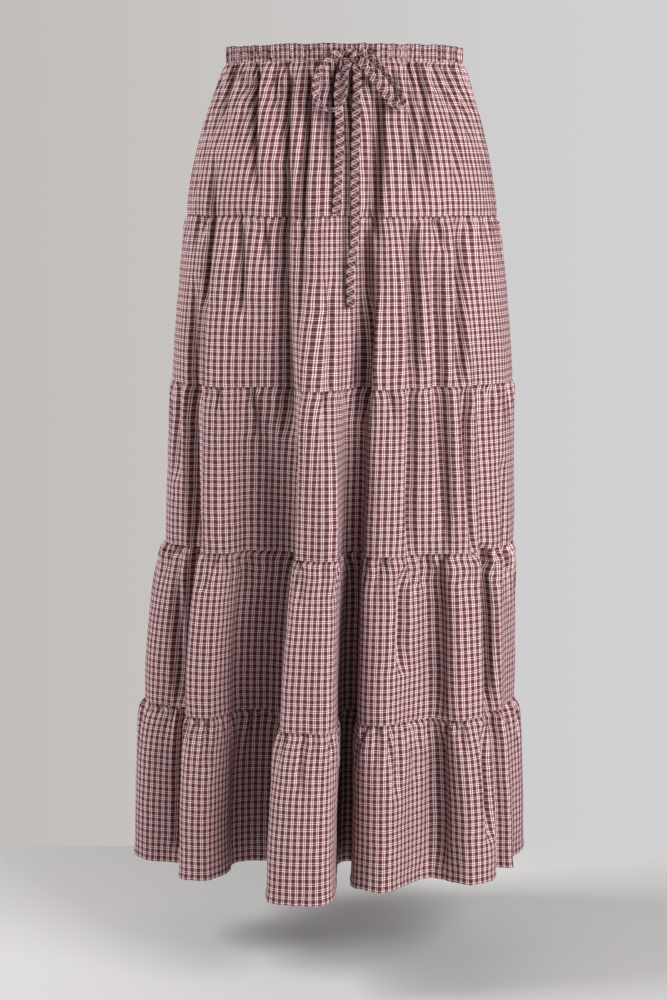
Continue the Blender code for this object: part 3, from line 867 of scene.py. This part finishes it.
def casing_lines():
    """The casing's lines, the cloth before each place on them, and the rows' places down the cloth."""
    seam = arcs_of(round_curve(fold_points(BAND_TALL), DENSE))
    flat_cut = arcs_of(round_curve(fold_points(SEAM_DROPS[1]), DENSE))
    line = round_curve(fold_points(0.0), DENSE)
    away = outward(line)
    plain = arcs_of(line)
    folds = 0.7 * gathers(0, seam, 0.002) - puckers(seam, seam[-1], 0.0, *BAND_PUCKERS, 1.0, 90)
    pressed = creased(BAND_TALL, plain)
    edge = 0.0010 * rounded_noise(seam, 0.009, seam[-1], 330)
    lines, measures, downs = [], [], []
    rows, first_outer = casing_profile()
    for index, (out, drop) in enumerate(rows):
        outside = index > first_outer + 3
        share = 0.35 if not outside else 0.45 + 0.55 * math.sin(math.pi * min(drop / 0.018, 1.0)) ** 0.7
        lifted = out + share * folds * (1.3 if outside else -0.5)
        if outside:
            lifted = lifted - BAND_PINCH * math.exp(-(((drop - BAND_STITCH) / 0.0012) ** 2))
            lifted = lifted - BAND_STANDS * eased((drop - 0.0120) / 0.0080)
            lifted = lifted - pressed * eased(drop / BAND_TALL)
        placed = line + away * np.broadcast_to(lifted, len(line))[:, None]
        height = TOP - drop - 0.0005 + edge * math.exp(-drop / 0.004)
        lines.append(np.column_stack((placed, height)))
        measures.append(cloth_measure(flat_cut, plain, arcs_of(placed)))
        downs.append(drop)
    steps = np.hypot(*np.diff(np.array(rows), axis=0).T)
    return lines, measures, BAND_TALL - (steps.sum() - np.concatenate(((0.0,), np.cumsum(steps))))


def sew_waistband():
    """The front and the back of the casing."""
    lines, measures, downs = casing_lines()
    # the casing's cloth is darkened to 0.84 of the tiers' cloth: painted shade of its puckers
    cloth = check_cloth("checked_casing_painted_shade", stitch_drops=(BAND_STITCH,), painted_shade_tone=0.84)
    for side, first, last in HALVES:
        width = flat_width(measures, first, last)
        columns = round(width / BAND_STEP)
        places = cut_from(lines, measures, first, last, columns)
        cut = CUT_OFFSETS[0] + np.linspace(0.0, width, columns + 1)
        piece = panel(f"cloth_waistband_{side}", places, cut, downs, cloth, BAND_CLOTH)
        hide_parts(f"waistband_{side}")
        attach(piece, "root")
        run = arcs_of(places[-4])[-1]
        downs[-1] - downs[0]
        print("casing", side, "flat", round(width, 3), "along its puckers", round(run, 3))


sew_waistband()

# %% [markdown]
# ## Drawstring
# The tie is a narrow strip cut on the bias, folded and sewn to a flat tube, so its check runs
# diagonally. It follows the same routes as the solids: a grid, whose rows become rings of points
# 1.3 mm apart. Small wrinkles make the cloth look soft, and both ends are closed.
# %% Routes of the tie
TIE_WIDE = 0.0095
TIE_THICK = 0.0020
TIE_STEP = 0.0013
KNOT_ACROSS = 0.0065
KNOT_DROP = 0.0120
KNOT_SIZE = (0.0150, 0.0095, 0.0125)

# across, drop, stand, twist
LOOP_LEFT = (
    (-0.0016, 0.0100, 0.0080, 0),
    (-0.0110, 0.0135, 0.0105, 25),
    (-0.0220, 0.0235, 0.0115, 48),
    (-0.0310, 0.0390, 0.0110, 52),
    (-0.0330, 0.0580, 0.0110, 50),
    (-0.0265, 0.0725, 0.0120, 58),
    (-0.0160, 0.0775, 0.0135, 66),
    (-0.0065, 0.0720, 0.0135, 62),
    (-0.0008, 0.0600, 0.0120, 58),
    (0.0002, 0.0450, 0.0110, 52),
    (0.0000, 0.0320, 0.0100, 35),
    (0.0030, 0.0205, 0.0085, 8),
)
LOOP_RIGHT = (
    (0.0154, 0.0095, 0.0088, 0),
    (0.0262, 0.0155, 0.0115, -38),
    (0.0375, 0.0265, 0.0125, -62),
    (0.0475, 0.0400, 0.0125, -66),
    (0.0565, 0.0535, 0.0120, -66),
    (0.0630, 0.0660, 0.0115, -62),
    (0.0600, 0.0725, 0.0110, -45),
    (0.0515, 0.0690, 0.0100, -25),
    (0.0425, 0.0570, 0.0090, -14),
    (0.0335, 0.0440, 0.0092, -12),
    (0.0245, 0.0320, 0.0096, -6),
    (0.0152, 0.0196, 0.0096, 0),
)
END_SHORT = (
    (0.0032, 0.0186, 0.0052, 0),
    (-0.0048, 0.0330, 0.0050, 8),
    (-0.0085, 0.0530, 0.0054, 18),
    (-0.0078, 0.0760, 0.0054, 20),
    (-0.0060, 0.1050, 0.0054, 18),
    (-0.0070, 0.1300, 0.0052, 10),
    (-0.0085, 0.1630, 0.0052, 6),
    (-0.0110, 0.1960, 0.0052, 0),
)
END_LONG = (
    (0.0112, 0.0184, 0.0052, 0),
    (0.0130, 0.0400, 0.0050, -6),
    (0.0122, 0.0700, 0.0052, -14),
    (0.0112, 0.1230, 0.0052, -8),
    (0.0104, 0.1690, 0.0052, 0),
    (0.0108, 0.2050, 0.0058, 10),
    (0.0094, 0.2320, 0.0058, 16),
    (0.0058, 0.2600, 0.0056, 8),
    (0.0052, 0.2830, 0.0056, 0),
    (0.0062, 0.3030, 0.0056, 0),
)


def on_front(across, drop, stand):
    """A point that stands off the front of the skirt, and the direction away from the skirt."""
    reaches, _ = plan_at(drop)
    wide = reaches[1] if across > 0 else reaches[0]
    angle = math.asin(across / wide)
    away = np.array((math.sin(angle) / wide, -math.cos(angle) / reaches[2], 0.0))
    away /= np.linalg.norm(away)
    return np.array((across, -reaches[2] * math.cos(angle), TOP - drop)) + away * stand, away


def open_curve(points, where):
    """A smooth open curve through points: the same formula, with one point added at each end."""
    ends = (2 * points[0] - points[1], 2 * points[-1] - points[-2])
    padded = np.vstack((ends[0], points, ends[1]))
    return round_curve(padded, np.minimum(where + 1.0, len(points) - 1e-6))


def route(rows, step):
    """Points, away directions and twists at even steps along a smooth route."""
    knots = np.array([on_front(across, drop, stand)[0] for across, drop, stand, _ in rows])
    dense = np.linspace(0.0, len(knots) - 1.0, 60 * len(knots))
    line = open_curve(knots, dense)
    arcs = arcs_of(line)
    stops = np.linspace(0.0, arcs[-1], round(arcs[-1] / step) + 1)
    places = np.column_stack([np.interp(stops, arcs, line[:, axis]) for axis in range(3)])
    twists = np.interp(np.interp(stops, arcs, dense), np.arange(len(rows)), [row[3] for row in rows])
    aways = np.array([on_front(place[0], TOP - place[2], 0.0)[1] for place in places])
    return places, aways, np.radians(twists), stops


# %% Shape a tie
AROUND = 18
BIAS_TURN = math.sqrt(0.5)


def on_bias(along, across):
    """A place on the cut map, turned by 45 degrees."""
    return (along - across) * BIAS_TURN, (along + across) * BIAS_TURN


def tie_section():
    """The flat tube's section, from -1 to 1 both ways: thicker at the sewn edge than at the fold."""
    turn = np.linspace(0.0, 2 * np.pi, AROUND + 1)
    across = np.sign(np.cos(turn)) * np.abs(np.cos(turn)) ** 0.62
    out = np.sign(np.sin(turn)) * np.abs(np.sin(turn)) ** 0.75 * (1 + 0.25 * across)
    return across, out


def tie(name, rows, seed):
    """A flat tube of cloth along a route, with small wrinkles."""
    places, aways, twists, stops = route(rows, TIE_STEP)
    length = stops[-1]
    ahead = np.gradient(places, axis=0)
    ahead /= np.linalg.norm(ahead, axis=1)[:, None]
    side = np.cross(ahead, aways)
    side /= np.linalg.norm(side, axis=1)[:, None]
    face = np.cross(side, ahead)
    turned = np.cos(twists)[:, None] * side + np.sin(twists)[:, None] * face
    thick = np.cross(ahead, turned)
    across, out = tie_section()
    wide = TIE_WIDE / 2 * (1 + 0.07 * rounded_noise(stops, 0.012, length, seed))
    fat = TIE_THICK / 2 * (1 + 0.30 * rounded_noise(stops, 0.009, length, seed + 1))
    ending = np.clip(np.minimum(stops, length - stops) / 0.0016, 0.0, 1.0) ** 0.5
    wide, fat = wide * (0.55 + 0.45 * ending), fat * (0.15 + 0.85 * ending)
    sway = 0.0005 * rounded_noise(stops, 0.011, length, seed + 2)
    ripple = 0.00035 * rounded_noise(stops, 0.0048, length, seed + 3)
    rings = places[:, None] + turned[:, None] * (wide[:, None] * across)[:, :, None]
    lift = fat[:, None] * out + sway[:, None] * across**2 + ripple[:, None] * across
    rings = rings + thick[:, None] * lift[:, :, None]
    return tube(name, rings, stops), places, length


def tube(name, rings, stops):
    """A closed tube through rings of points, with the cut map turned by 45 degrees."""
    mesh = bmesh.new()
    cut_map = mesh.loops.layers.uv.new("cut")
    bmesh.ops.create_grid(mesh, x_segments=AROUND, y_segments=len(rings) - 1, size=0.5)
    spacing = 2 * TIE_WIDE / AROUND
    for face in mesh.faces:
        for loop in face.loops:
            column, row = grid_place(loop.vert.co, AROUND, len(rings) - 1)
            along, across = stops[row], column * spacing
            loop[cut_map].uv = on_bias(along, across)
    for vertex in mesh.verts:
        column, row = grid_place(vertex.co, AROUND, len(rings) - 1)
        vertex.co = rings[row][column]
    bmesh.ops.remove_doubles(mesh, verts=mesh.verts, dist=1e-6)
    bmesh.ops.holes_fill(mesh, edges=mesh.edges, sides=0)
    bmesh.ops.recalc_face_normals(mesh, faces=mesh.faces[:])
    data = bpy.data.meshes.new(name)
    mesh.to_mesh(data)
    mesh.free()
    return finish(name, data, cloth_of_tie)


def grid_place(spot, last_column, last_row):
    """The column and row of a point of a fresh grid of size 1."""
    return round((spot.x + 0.5) * last_column), round((0.5 - spot.y) * last_row)


# %% Tie the bow
# the tie's cloth is darkened to 0.74 of the tiers' cloth: painted shade on the bow
cloth_of_tie = check_cloth("checked_bias_tie_painted_shade", wander=0.0034, painted_shade_tone=0.74)


def knot():
    """The knot: a soft lump with the tie wrapped slantwise round it."""
    mesh = bmesh.new()
    cut_map = mesh.loops.layers.uv.new("cut")
    bmesh.ops.create_uvsphere(mesh, u_segments=56, v_segments=40, radius=0.5)
    stand = BAND_STANDS + SEAM_GAP + KNOT_SIZE[1] / 2
    place, _ = on_front(KNOT_ACROSS, KNOT_DROP, stand)
    for face in mesh.faces:
        for loop in face.loops:
            x, y, z = loop.vert.co
            along, across = KNOT_SIZE[0] * (x + 0.6 * y), KNOT_SIZE[2] * (z + 0.8 * y)
            loop[cut_map].uv = on_bias(along, across)
    for vertex in mesh.verts:
        spot = vertex.co.copy()
        squared = spot * (1.0 + 0.10 * (1 - (2 * spot.z) ** 4))
        wrap = 0.055 * math.cos(3.2 * math.pi * (0.95 * spot.z + 0.30 * spot.x))
        crease = 0.10 * math.exp(-(((spot.z - 0.35 * spot.x - 0.10) / 0.045) ** 2))
        shrunk = squared * (0.90 + wrap - crease)
        vertex.co = Vector(place) + Vector([a * size for a, size in zip(shrunk, KNOT_SIZE)])
    data = bpy.data.meshes.new("cloth_bow_knot")
    mesh.to_mesh(data)
    mesh.free()
    return finish("cloth_bow_knot", data, cloth_of_tie)


def tie_bow():
    """The knot, the loops and the hanging ends."""
    knot_piece = knot()
    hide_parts("bow_knot")
    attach(knot_piece, "root")
    parts = (
        ("bow_loop_left", LOOP_LEFT, "object", 500),
        ("bow_loop_right", LOOP_RIGHT, "object", 510),
        ("tie_end_short", END_SHORT, "bare", 520),
        ("tie_end_long", END_LONG, "bare", 530),
    )
    for node, rows, far_end, seed in parts:
        piece, places, length = tie(f"cloth_{node}", rows, seed)
        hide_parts(node)
        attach(piece, "root")
        print(node, "length", round(float(length), 3))


tie_bow()
